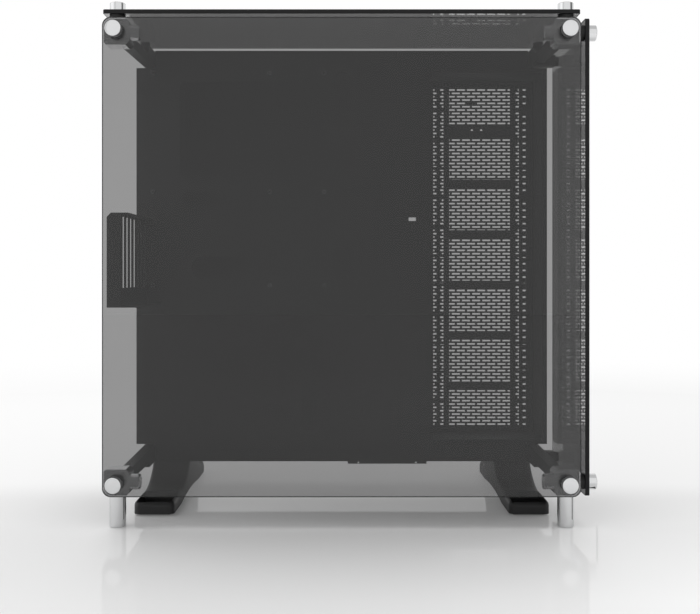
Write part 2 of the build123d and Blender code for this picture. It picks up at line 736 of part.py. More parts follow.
def make_tray_fittings():
    """Grommets, motherboard standoffs and the drive tray."""
    for name, place in grommet_places.items():
        add(name, grommet(*place))
    columns = [board_left + board_hole_inset + step for step in board_columns]
    rows = [board_top - board_hole_inset - step for step in board_rows]
    add("standoffs", *[standoff(x, z) for x in columns for z in rows])
    low = tray_bottom - drive_tray_lip
    top = tray_bottom + drive_tray_height
    mid_x = drive_tray_left + drive_tray_width / 2
    face = Pos(mid_x, (low + top) / 2) * Rectangle(drive_tray_width, top - low)
    hole_z = tray_bottom + (drive_tray_height + rim_width) / 2
    face -= hole_grid(mid_x, hole_z, drive_hole_span_x, drive_hole_span_z, drive_hole_radius)
    face -= [Pos(mid_x + side * drive_hole_span_x / 2, low + drive_tray_lip / 2) * Circle(drive_lip_notch)
             for side in (-1, 1)]
    drive = plate(face, tray_front + sheet, sheet)
    side_z = (tray_bottom + sheet + rim_width, top)
    side_y = (tray_front + sheet, tray_front + sheet + drive_tray_side)
    right = drive_tray_left + drive_tray_width
    drive += block((drive_tray_left, drive_tray_left + sheet), side_y, side_z)
    drive += block((right - sheet, right), side_y, side_z)
    add("drive_tray", drive)


def make_port_panel():
    """Port housing with sockets, jacks and two sprung buttons, let into the upper wall of the chassis."""
    mid_y = tray_front + chassis_depth / 2
    x_range = (port_panel_x - port_panel_length / 2, port_panel_x + port_panel_length / 2)
    y_range = (mid_y - port_panel_width / 2, mid_y + port_panel_width / 2)
    panel = block([x_range[0] + screw_clearance, x_range[1] - screw_clearance],
                  [y_range[0] + screw_clearance, y_range[1] - screw_clearance],
                  (tray_top - port_panel_depth, tray_top))
    face_z = tray_top + port_bezel
    bezel = block([x_range[0] - port_bezel_border, x_range[1] + port_bezel_border],
                  [y_range[0] - port_bezel_border, y_range[1] + port_bezel_border], (tray_top, face_z))
    panel += chamfer(bezel.faces().sort_by(Axis.Z)[-1].edges(), port_bezel / 2)
    pocket_floor = tray_top - port_panel_depth + port_inset
    for offset in port_places["usb"]:
        x = port_panel_x + offset
        panel -= block((x - usb_length / 2, x + usb_length / 2), (mid_y - usb_width / 2, mid_y + usb_width / 2),
                       (pocket_floor, face_z))
    for offset in port_places["audio"]:
        panel -= rod((port_panel_x + offset, mid_y, face_z), (0, 0, -1), jack_radius, face_z - pocket_floor)
    buttons = {"power_button": (power_button_offset, power_button_radius),
               "reset_button": (reset_button_offset, reset_button_radius)}
    for name, (offset, radius) in buttons.items():
        centre = (port_panel_x + offset, mid_y)
        top = face_z + button_rise
        stem_end = top - button_length
        panel -= rod((*centre, face_z), (0, 0, -1), radius + button_gap, face_z - pocket_floor)
        chamber = button_flange_height + button_travel + 2 * button_gap
        panel -= rod((*centre, stem_end + button_gap), (0, 0, -1), radius + button_flange + button_gap, chamber)
        stem = rod((*centre, stem_end), (0, 0, 1), radius, button_length)
        stem = chamfer(stem.edges().sort_by(Axis.Z)[-1], button_gap)
        add(name, stem + rod((*centre, stem_end), (0, 0, -1), radius + button_flange, button_flange_height))
    add("port_panel", panel)


make_panes()
make_fixings()
make_brackets()
make_legs()
make_feet()
make_tray()
make_fan_plate()
make_covers()
make_slot_bracket()
make_tray_fittings()
make_port_panel()

os.makedirs("parts", exist_ok=True)
for name, shape in parts.items():
    export_step(Pos(-row_origin_x, -row_origin_y, 0) * shape, f"parts/{name}.step")
print("row origin", row_origin_x, row_origin_y)
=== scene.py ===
"""Studio scene of an open-frame computer case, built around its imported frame.

A folded black steel tray stands on two moulded feet. Corner brackets reach forward from it and
carry three panes of tinted glass, held off by chrome knobs and standing on two chrome legs.
Every length is in metres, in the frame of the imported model.
"""

from __future__ import annotations

import json
import logging
import math
from dataclasses import dataclass
from enum import Enum
from typing import Iterable, Sequence

import bmesh
import bpy
from mathutils import Matrix, Vector

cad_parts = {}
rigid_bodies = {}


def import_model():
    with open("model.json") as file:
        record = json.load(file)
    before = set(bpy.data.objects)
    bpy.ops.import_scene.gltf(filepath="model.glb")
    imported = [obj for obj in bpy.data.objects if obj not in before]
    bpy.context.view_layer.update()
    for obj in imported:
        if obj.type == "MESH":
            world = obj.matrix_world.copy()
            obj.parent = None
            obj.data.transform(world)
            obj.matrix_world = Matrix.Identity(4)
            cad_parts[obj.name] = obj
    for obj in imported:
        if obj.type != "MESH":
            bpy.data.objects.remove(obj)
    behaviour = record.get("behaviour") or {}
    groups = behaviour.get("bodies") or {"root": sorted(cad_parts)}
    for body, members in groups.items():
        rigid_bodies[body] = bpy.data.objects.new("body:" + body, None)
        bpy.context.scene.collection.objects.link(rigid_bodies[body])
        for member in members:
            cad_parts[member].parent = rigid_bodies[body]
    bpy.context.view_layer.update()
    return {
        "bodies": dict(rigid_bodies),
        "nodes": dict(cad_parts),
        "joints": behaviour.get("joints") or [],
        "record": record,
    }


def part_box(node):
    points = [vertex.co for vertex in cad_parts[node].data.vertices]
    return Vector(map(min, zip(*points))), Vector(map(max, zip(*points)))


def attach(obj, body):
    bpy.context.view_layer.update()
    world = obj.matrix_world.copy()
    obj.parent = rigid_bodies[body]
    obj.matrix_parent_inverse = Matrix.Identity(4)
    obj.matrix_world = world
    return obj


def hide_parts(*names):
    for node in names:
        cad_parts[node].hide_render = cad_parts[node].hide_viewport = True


LOG = logging.getLogger("computer_case")
MILLIMETRE = 0.001
WELD = 1e-6
PACKED_WELD = 2e-6
BODY = "case"
Span = tuple[float, float]
Triple = tuple[float, float, float]


class Direction(Enum):
    """The way that a turned piece points from its seat."""

    FRONT = (0.0, -1.0, 0.0)
    RIGHT = (1.0, 0.0, 0.0)
    UP = (0.0, 0.0, 1.0)
    DOWN = (0.0, 0.0, -1.0)
    BACK = (0.0, 1.0, 0.0)


class Tree:
    """A node tree, with short calls to add and join its nodes."""

    def __init__(self, tree: bpy.types.NodeTree) -> None:
        """Empty the tree.

        Args:
            tree: The tree of a material or of the world.
        """
        self.tree = tree
        self.tree.nodes.clear()

    def add(self, kind: str, settings: dict[str, str] | None = None, **inputs: object) -> bpy.types.Node:
        """Add one node.

        Args:
            kind: The node's type.
            settings: Values for the node's own properties.
            **inputs: Values or sockets for its inputs, with underscores for spaces, or i and a
                number for an input that shares its name.

        Returns:
            The new node.
        """
        node = self.tree.nodes.new(kind)
        for key, value in (settings or {}).items():
            setattr(node, key, value)
        for key, value in inputs.items():
            numbered = key[0] == "i" and key[1:].isdigit()
            socket = node.inputs[int(key[1:])] if numbered else node.inputs[key.replace("_", " ")]
            if isinstance(value, bpy.types.NodeSocket):
                self.tree.links.new(value, socket)
            else:
                socket.default_value = value
        return node

    def calculate(self, operation: str, *terms: bpy.types.NodeSocket | float) -> bpy.types.NodeSocket:
        """Add a calculation.

        Args:
            operation: Blender's name for it.
            *terms: Its terms, each a socket or a number.

        Returns:
            The result's socket.
        """
        inputs = {f"i{index}": term for index, term in enumerate(terms)}
        return self.add("ShaderNodeMath", {"operation": operation}, **inputs).outputs[0]

    def greatest(self, first: bpy.types.NodeSocket, *others: bpy.types.NodeSocket) -> bpy.types.NodeSocket:
        """Return the greatest of two or more values."""
        for other in others:
            first = self.calculate("MAXIMUM", first, other)
        return first

    def ramp(self, value: bpy.types.NodeSocket, over: Span, low: bpy.types.NodeSocket | float = 0.0,
             high: bpy.types.NodeSocket | float = 1.0, smooth: bool = False) -> bpy.types.NodeSocket:
        """Map a value onto a range, and hold it at both ends.

        Args:
            value: The value.
            over: The values where the ramp starts and ends.
            low: What the ramp starts at.
            high: What the ramp ends at.
            smooth: Whether the ramp eases in and out.

        Returns:
            The mapped value.
        """
        easing = {"interpolation_type": "SMOOTHSTEP"} if smooth else None
        node = self.add("ShaderNodeMapRange", easing, Value=value, From_Min=over[0], From_Max=over[1],
                        To_Min=low, To_Max=high)
        return node.outputs["Result"]

    def mix(self, factor: bpy.types.NodeSocket, first: bpy.types.NodeSocket,
            second: bpy.types.NodeSocket) -> bpy.types.NodeSocket:
        """Mix two shaders by a factor."""
        return self.add("ShaderNodeMixShader", i0=factor, i1=first, i2=second).outputs["Shader"]


class Graph(Tree):
    """The node tree of one new material."""

    def __init__(self, name: str) -> None:
        """Start an empty material.

        Args:
            name: The material's name.
        """
        self.material = bpy.data.materials.new(name)
        self.material.use_nodes = True
        super().__init__(self.material.node_tree)
        self.output = self.tree.nodes.new("ShaderNodeOutputMaterial")

    def close(self, surface: bpy.types.NodeSocket,
              volume: bpy.types.NodeSocket | None = None) -> bpy.types.Material:
        """Join the shaders to the output.

        Args:
            surface: The surface shader.
            volume: The volume shader, if there is one.

        Returns:
            The finished material.
        """
        self.tree.links.new(surface, self.output.inputs["Surface"])
        if volume is not None:
            self.tree.links.new(volume, self.output.inputs["Volume"])
        return self.material

    def coordinates(self) -> bpy.types.NodeSocket:
        """Return the object's own coordinates, in metres."""
        return self.add("ShaderNodeTexCoord").outputs["Object"]

    def noise(self, grain: float, detail: float = 2.0,
              stretch: Triple = (1.0, 1.0, 1.0)) -> bpy.types.NodeSocket:
        """Add noise on the object's coordinates.

        Args:
            grain: Size of one grain, in metres.
            detail: Number of finer layers.
            stretch: How much longer the grain is along each axis.

        Returns:
            The noise's value, from 0 to 1.
        """
        scale = [1.0 / length for length in stretch]
        mapping = self.add("ShaderNodeMapping", Vector=self.coordinates(), Scale=scale)
        node = self.add("ShaderNodeTexNoise", Vector=mapping.outputs["Vector"], Scale=1.0 / grain,
                        Detail=detail)
        return node.outputs["Fac"]

    def tint(self, factor: bpy.types.NodeSocket, first: Triple, second: Triple) -> bpy.types.NodeSocket:
        """Mix two colours by a factor."""
        node = self.add("ShaderNodeMix", {"data_type": "RGBA"}, Factor=factor, i6=(*first, 1.0),
                        i7=(*second, 1.0))
        return node.outputs[2]

    def bump(self, height: bpy.types.NodeSocket, depth: float) -> bpy.types.NodeSocket:
        """Turn a height into a shaded normal.

        Args:
            height: The height's value, from 0 to 1.
            depth: Depth of the relief, in metres.

        Returns:
            The normal.
        """
        return self.add("ShaderNodeBump", Height=height, Distance=depth, Strength=1.0).outputs["Normal"]

    def spread(self, factor: bpy.types.NodeSocket, middle: float, reach: float) -> bpy.types.NodeSocket:
        """Map a factor from 0 to 1 onto the values within reach of a middle one."""
        return self.ramp(factor, (0.0, 1.0), middle - reach, middle + reach)


@dataclass(frozen=True)
class CoatedMetal:
    """Powder coat or lacquer on steel, with a fine orange-peel texture."""

    name: str
    colour: Triple
    worn: Triple
    roughness: float
    gloss: float
    grain: float = 0.9 * MILLIMETRE
    relief: float = 0.001 * MILLIMETRE
    cloud_size: float = 60.0 * MILLIMETRE
    roughness_reach: float = 0.02

    def build(self) -> bpy.types.Material:
        """Return the coat's material."""
        graph = Graph(self.name)
        cloud = graph.noise(self.cloud_size, 3.0)
        peel = graph.noise(self.grain, 4.0)
        shader = graph.add(
            "ShaderNodeBsdfPrincipled",
            Base_Color=graph.tint(cloud, self.colour, self.worn),
            Roughness=graph.spread(cloud, self.roughness, self.roughness_reach),
            Normal=graph.bump(peel, self.relief),
            Specular_IOR_Level=self.gloss,
        )
        return graph.close(shader.outputs["BSDF"])


@dataclass(frozen=True)
class TurnedMetal:
    """Bare or plated metal with fine turning marks and faint smudges."""

    name: str
    colour: Triple
    roughness: float
    grain: float
    relief: float
    smudge_size: float = 12.0 * MILLIMETRE
    smudge_share: float = 0.94
    roughness_reach: float = 0.025
    mark_stretch: Triple = (12.0, 12.0, 1.0)

    def build(self) -> bpy.types.Material:
        """Return the metal's material."""
        graph = Graph(self.name)
        smudge = graph.noise(self.smudge_size, 3.0)
        marks = graph.noise(self.grain, 2.0, self.mark_stretch)
        dull = tuple(value * self.smudge_share for value in self.colour)
        shader = graph.add(
            "ShaderNodeBsdfPrincipled",
            Base_Color=graph.tint(smudge, self.colour, dull),
            Roughness=graph.spread(smudge, self.roughness + self.roughness_reach, self.roughness_reach),
            Normal=graph.bump(marks, self.relief),
            Metallic=1.0,
        )
        return graph.close(shader.outputs["BSDF"])


@dataclass(frozen=True)
class BlockAndArm:
    """Satin aluminium on the corner block and black coat on the arm behind it."""

    name: str
    block_rear: float
    metal: Triple
    coat: Triple
    metal_roughness: float
    coat_roughness: float = 0.5
    coat_gloss: float = 0.3
    smudge_size: float = 20.0 * MILLIMETRE
    roughness_reach: float = 0.02
    grain: float = 0.4 * MILLIMETRE
    relief: float = 0.002 * MILLIMETRE
    mark_stretch: Triple = (12.0, 1.0, 1.0)

    def build(self) -> bpy.types.Material:
        """Return the finish, which changes where the arm leaves the block."""
        graph = Graph(self.name)
        smudge = graph.noise(self.smudge_size, 3.0)
        marks = graph.noise(self.grain, 2.0, self.mark_stretch)
        block = graph.add(
            "ShaderNodeBsdfPrincipled",
            Base_Color=(*self.metal, 1.0),
            Roughness=graph.spread(smudge, self.metal_roughness, self.roughness_reach),
            Normal=graph.bump(marks, self.relief),
            Metallic=1.0,
        )
        arm = graph.add("ShaderNodeBsdfPrincipled", Base_Color=(*self.coat, 1.0),
                        Roughness=self.coat_roughness, Specular_IOR_Level=self.coat_gloss)
        place = graph.add("ShaderNodeSeparateXYZ", Vector=graph.coordinates())
        behind = graph.calculate("GREATER_THAN", place.outputs["Y"], self.block_rear)
        return graph.close(graph.mix(behind, block.outputs["BSDF"], arm.outputs["BSDF"]))


@dataclass(frozen=True)
class SoftPolymer:
    """Rubber or moulded plastic with a matt, finely grained skin."""

    name: str
    colour: Triple
    faded: Triple
    roughness: float
    grain: float
    relief: float
    cloud_size: float = 30.0 * MILLIMETRE
    roughness_reach: float = 0.05

    def build(self) -> bpy.types.Material:
        """Return the polymer's material."""
        graph = Graph(self.name)
        cloud = graph.noise(self.cloud_size)
        grains = graph.add("ShaderNodeTexVoronoi", Vector=graph.coordinates(), Scale=1.0 / self.grain)
        shader = graph.add(
            "ShaderNodeBsdfPrincipled",
            Base_Color=graph.tint(cloud, self.colour, self.faded),
            Roughness=graph.spread(cloud, self.roughness, self.roughness_reach),
            Normal=graph.bump(grains.outputs["Distance"], self.relief),
        )
        return graph.close(shader.outputs["BSDF"])


@dataclass(frozen=True)
class TintedGlass:
    """Smoke-tinted tempered glass with ground black edges.

    Part of the soft light crosses it unbent, so that the inside of the case is lit through it.
    """

    name: str
    across: Direction
    tint: float = 0.545
    density: float = 130.0
    soft_share: float = 0.5
    index: float = 1.5
    smear_size: float = 50.0 * MILLIMETRE
    smear_share: float = 0.985
    edge_colour: Triple = (0.010, 0.010, 0.0104)
    edge_roughness: float = 0.5
    edge_gloss: float = 0.2
    face_slope: float = 0.8

    def ground_edge(self, graph: Graph, pane: bpy.types.NodeSocket) -> bpy.types.NodeSocket:
        """Put a ground black edge where the surface doesn't face across the pane.

        Args:
            graph: The material's graph.
            pane: The shader of the pane's two faces.

        Returns:
            The shader of the whole pane.
        """
        edge = graph.add("ShaderNodeBsdfPrincipled", Base_Color=(*self.edge_colour, 1.0),
                         Roughness=self.edge_roughness, Specular_IOR_Level=self.edge_gloss)
        normal = graph.add("ShaderNodeTexCoord").outputs["Normal"]
        facing = graph.add("ShaderNodeVectorMath", {"operation": "DOT_PRODUCT"}, i0=normal,
                           i1=self.across.value)
        steep = graph.calculate("ABSOLUTE", facing.outputs["Value"])
        return graph.mix(graph.calculate("LESS_THAN", steep, self.face_slope), pane, edge.outputs["BSDF"])

    def build(self) -> bpy.types.Material:
        """Return the glass of a pane that is thin along one axis."""
        graph = Graph(self.name)
        smear = graph.noise(self.smear_size)
        pane = graph.add(
            "ShaderNodeBsdfPrincipled",
            Base_Color=graph.tint(smear, (self.tint,) * 3, (self.tint * self.smear_share,) * 3),
            Roughness=0.0, IOR=self.index, Transmission_Weight=1.0,
        )
        body = self.ground_edge(graph, pane.outputs["BSDF"])
        clear = graph.add("ShaderNodeBsdfTransparent", Color=(*(self.soft_share,) * 3, 1.0))
        path = graph.add("ShaderNodeLightPath")
        soft = graph.greatest(path.outputs["Is Shadow Ray"], path.outputs["Is Diffuse Ray"])
        smoke = graph.add("ShaderNodeVolumeAbsorption", Color=(0.0, 0.0, 0.0, 1.0), Density=self.density)
        return graph.close(graph.mix(soft, body, clear.outputs["BSDF"]), smoke.outputs["Volume"])


@dataclass(frozen=True)
class StudioWhite:
    """The white surround: world, floor and the fading edge between them.

    The floor's colour is given at its front and at its back, left and right of the case, and holds
    painted shade: it darkens towards the back on the right, where the case's shadow falls. Its shares
    are those of plain white glow, painted light, that the camera sees in it beneath the case, behind
    the case, and through the glass.
    """

    level: float = 1.0
    from_behind: float = 0.5
    floor_size: float = 6.0
    # Floor colour front and back, left and right: painted shade, darker towards the back on the right
    # where the case's shadow falls.
    floor_left_painted_shade: Span = (0.88, 0.89)
    floor_right_painted_shade: Span = (1.0, 0.79)
    front_to_back: Span = (-0.4, 0.1)
    left_to_right: Span = (-0.35, 0.35)
    floor_roughness: float = 0.04
    floor_index: float = 1.12
    # Shares of white glow on the floor: painted light that fills the shade beneath and behind the case and
    # brightens the floor seen through the glass.
    painted_light_beneath_share: float = 0.09
    painted_light_beneath_over: Span = (-0.17, -0.12)
    painted_light_behind_share: float = 0.42
    painted_light_behind_over: Span = (-0.025, 0.10)
    painted_light_glass_share: float = 0.58
    fade_over: Span = (0.5, 2.2)
    fade_width: Triple = (0.8, 1.0, 1.0)

    def build_world(self) -> None:
        """Make the world an even white that lights matt surfaces more from behind."""
        world = bpy.data.worlds.new("studio_white")
        bpy.context.scene.world = world
        world.use_nodes = True
        tree = Tree(world.node_tree)
        place = tree.add("ShaderNodeTexCoord")
        direction = tree.add("ShaderNodeSeparateXYZ", i0=place.outputs["Generated"])
        slope = tree.calculate("MULTIPLY_ADD", direction.outputs["Y"], self.from_behind, self.level)
        lit = tree.add("ShaderNodeBackground", Color=(1.0, 1.0, 1.0, 1.0), Strength=slope)
        white = tree.add("ShaderNodeBackground", Color=(1.0, 1.0, 1.0, 1.0))
        path = tree.add("ShaderNodeLightPath")
        kinds = ("Is Camera Ray", "Is Glossy Ray", "Is Transmission Ray")
        seen = tree.greatest(*(path.outputs[kind] for kind in kinds))
        surface = tree.mix(seen, lit.outputs["Background"], white.outputs["Background"])
        tree.add("ShaderNodeOutputWorld", Surface=surface)

    def floor_surface(self, graph: Graph, across: bpy.types.NodeSocket,
                      along: bpy.types.NodeSocket) -> bpy.types.NodeSocket:
        """Shade the floor itself, with painted shade in its colour, darker towards the back on the right.

        Args:
            graph: The floor's graph.
            across: Place from left to right.
            along: Place from front to back.

        Returns:
            The floor's shader.
        """
        # Painted shade: the colour ramps down towards the back on the right, near the case.
        left, right = (graph.ramp(along, self.front_to_back, *tones)
                       for tones in (self.floor_left_painted_shade, self.floor_right_painted_shade))
        painted_shade_tone = graph.ramp(across, self.left_to_right, left, right)
        colour = graph.add("ShaderNodeCombineColor", i0=painted_shade_tone, i1=painted_shade_tone, i2=painted_shade_tone)
        surface = graph.add("ShaderNodeBsdfPrincipled", Base_Color=colour.outputs["Color"],
                            Roughness=self.floor_roughness, IOR=self.floor_index)
        return surface.outputs["BSDF"]

    def painted_light_and_fade_share(self, graph: Graph, along: bpy.types.NodeSocket) -> bpy.types.NodeSocket:
        """Work out how much plain white the camera sees in the floor: painted light glowing beneath and
        behind the case and through the glass, and the fade at the far edge.

        Args:
            graph: The floor's graph.
            along: Place from front to back.

        Returns:
            The share, from 0 to 1.
        """
        # Painted light: a white glow that fills the shade beneath and behind the case, seen by the camera.
        beneath = graph.ramp(along, self.painted_light_beneath_over, 0.0, self.painted_light_beneath_share, smooth=True)
        behind = graph.ramp(along, self.painted_light_behind_over, beneath, self.painted_light_behind_share, smooth=True)
        centred = graph.add("ShaderNodeVectorMath", {"operation": "MULTIPLY"}, i0=graph.coordinates(),
                            i1=self.fade_width)
        distance = graph.add("ShaderNodeVectorMath", {"operation": "LENGTH"}, i0=centred.outputs[0])
        fade = graph.ramp(distance.outputs["Value"], self.fade_over, smooth=True)
        path = graph.add("ShaderNodeLightPath")
        seen = graph.calculate("MULTIPLY", graph.greatest(behind, fade), path.outputs["Is Camera Ray"])
        # Painted light: the floor seen through the glass glows brighter.
        return graph.calculate("MULTIPLY_ADD", path.outputs["Is Transmission Ray"], self.painted_light_glass_share, seen)

    def build_floor(self) -> None:
        """Lay a pale floor whose far edge fades into the white surround, with painted shade in its colour
        and painted light glowing in it beneath and behind the case and through the glass.
        """
        mesh = bmesh.new()
        bmesh.ops.create_grid(mesh, x_segments=1, y_segments=1, size=self.floor_size)
        floor = mesh_object("studio_floor", mesh)
        graph = Graph("studio_floor")
        place = graph.add("ShaderNodeSeparateXYZ", Vector=graph.coordinates())
        surface = self.floor_surface(graph, place.outputs["X"], place.outputs["Y"])
        share = self.painted_light_and_fade_share(graph, place.outputs["Y"])
        # The white glow is painted light beneath, behind and through the glass, and the plain white fade
        # at the far edge.
        white = graph.add("ShaderNodeEmission", Color=(1.0, 1.0, 1.0, 1.0), Strength=1.0)
        floor.data.materials.append(graph.close(graph.mix(share, surface, white.outputs["Emission"])))


@dataclass(frozen=True)
class MirrorCard:
    """A flat card near the case that only polished pieces mirror."""

    name: str
    place: Triple
    aim: Triple
    width: float
    height: float
    level: float

    def build(self) -> None:
        """Set the card at its place, facing its aim."""
        mesh = bmesh.new()
        bmesh.ops.create_grid(mesh, x_segments=1, y_segments=1, size=0.5)
        bmesh.ops.scale(mesh, vec=(self.width, self.height, 1.0), verts=mesh.verts)
        heading = (Vector(self.aim) - Vector(self.place)).to_track_quat("Z", "Y").to_matrix().to_4x4()
        bmesh.ops.transform(mesh, matrix=Matrix.Translation(self.place) @ heading, verts=mesh.verts)
        card = mesh_object(self.name, mesh)
        graph = Graph(self.name)
        glow = graph.add("ShaderNodeEmission", Color=(1.0, 1.0, 1.0, 1.0), Strength=self.level)
        card.data.materials.append(graph.close(glow.outputs["Emission"]))
        card.visible_camera = False
        card.visible_diffuse = False
        card.visible_transmission = False
        card.visible_shadow = False


@dataclass(frozen=True)
class StudioCards:
    """The cards round the case, and a dark strip beside each leg that draws a line on its chrome."""

    middle: Triple = (0.0, 0.0, 0.3)
    tall: float = 2.4
    strip_gap: float = 35.0 * MILLIMETRE
    strip_height: float = 20.0 * MILLIMETRE
    strip_length: float = 40.0 * MILLIMETRE
    strip_level: float = 0.08
    left_strip_width: float = 7.0 * MILLIMETRE
    right_strip_width: float = 9.0 * MILLIMETRE
    right_strip_forward: float = 6.0 * MILLIMETRE

    def leg_strip(self, name: str, node: str, width: float, forward: float) -> MirrorCard:
        """Place a strip to the right of a leg.

        Args:
            name: The strip's name.
            node: The leg's node.
            width: The strip's width.
            forward: How far it stands in front of the leg's axis.

        Returns:
            The strip, facing the leg.
        """
        low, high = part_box(node)
        leg = Vector(((low.x + high.x) / 2, (low.y + high.y) / 2 - forward, self.strip_height))
        place = leg + Vector((self.strip_gap, 0.0, 0.0))
        return MirrorCard(name, tuple(place), tuple(leg), width, self.strip_length, self.strip_level)

    def build(self) -> None:
        """Set up every card."""
        for card in (
            MirrorCard("dark_card_right", (1.55, -0.39, 0.3), self.middle, 0.98, self.tall, 0.22),
            MirrorCard("bright_card_left", (-1.52, -0.49, 0.3), self.middle, 1.16, self.tall, 1.3),
            MirrorCard("grey_card_left", (-0.85, -1.36, 0.3), self.middle, 0.34, self.tall, 0.75),
            MirrorCard("grey_card_above", (0.3, -0.1, 2.2), (0.3, -0.1, 0.0), self.tall, 2.6, 0.68),
            self.leg_strip("dark_strip_left_leg", "leg_left", self.left_strip_width, 0.0),
            self.leg_strip("dark_strip_right_leg", "leg_right", self.right_strip_width,
                           self.right_strip_forward),
        ):
            card.build()


def mesh_object(name: str, mesh: bmesh.types.BMesh,
                smooth_angle: float | None = None) -> bpy.types.Object:
    """Turn an edited mesh into an object of the scene.

    Args:
        name: The object's name.
        mesh: The edited mesh, which is freed.
        smooth_angle: Sharpest angle that is still shaded smooth, in radians.

    Returns:
        The new object.
    """
    data = bpy.data.meshes.new(name)
    mesh.to_mesh(data)
    mesh.free()
    piece = bpy.data.objects.new(name, data)
    bpy.context.scene.collection.objects.link(piece)
    if smooth_angle is not None:
        data.shade_smooth()
        data.set_sharp_from_angle(angle=smooth_angle)
    return piece


@dataclass
class TurnedPiece:
    """A piece turned on a lathe, drawn as a list of radius and height along its axis."""

    name: str
    outline: Sequence[Span]
    steps: int = 64
    ridge_depth: float = 0.0

    def knurl(self, mesh: bmesh.types.BMesh) -> None:
        """Draw every other line of the widest band inwards, which leaves ridges."""
        widest = max(radius for radius, _ in self.outline)
        for vert in mesh.verts:
            step = round(math.atan2(vert.co.y, vert.co.x) / math.tau * self.steps)
            if step % 2 and abs(math.hypot(vert.co.x, vert.co.y) - widest) < WELD:
                vert.co.xy *= 1.0 - self.ridge_depth / widest

    def mesh(self) -> bmesh.types.BMesh:
        """Spin the outline into a closed mesh about the Z axis."""
        mesh = bmesh.new()
        points = [mesh.verts.new((radius, 0.0, height)) for radius, height in self.outline]
        edges = [mesh.edges.new(pair) for pair in zip(points, points[1:])]
        bmesh.ops.spin(mesh, geom=points + edges, cent=(0.0, 0.0, 0.0), axis=(0.0, 0.0, 1.0),
                       angle=math.tau, steps=self.steps, use_merge=True)
        bmesh.ops.remove_doubles(mesh, verts=mesh.verts, dist=WELD)
        bmesh.ops.recalc_face_normals(mesh, faces=mesh.faces)
        if self.ridge_depth:
            self.knurl(mesh)
        return mesh

    def place(self, seats: Iterable[tuple[Vector, Direction]],
              smooth_angle: float = 0.6) -> bpy.types.Object:
        """Set copies of the piece on their seats, as one object.

        Args:
            seats: The seat and direction of each copy.
            smooth_angle: Sharpest angle that is still shaded smooth, in radians.

        Returns:
            The object that holds every copy.
        """
        whole = bmesh.new()
        upright = Vector(Direction.UP.value)
        for seat, direction in seats:
            single = self.mesh()
            turn = upright.rotation_difference(Vector(direction.value)).to_matrix().to_4x4()
            bmesh.ops.transform(single, matrix=Matrix.Translation(seat) @ turn, verts=single.verts)
            scratch = bpy.data.meshes.new("turned_copy")
            single.to_mesh(scratch)
            single.free()
            whole.from_mesh(scratch)
            bpy.data.meshes.remove(scratch)
        return mesh_object(self.name, whole, smooth_angle)


def dress(piece: bpy.types.Object, finish: bpy.types.Material, node: str) -> None:
    """Give a new piece its finish and the case as its body, and hide the node that it stands for.

    Args:
        piece: The new piece.
        finish: The material.
        node: The node that it replaces.
    """
    piece.data.materials.clear()
    piece.data.materials.append(finish)
    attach(piece, BODY)
    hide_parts(node)


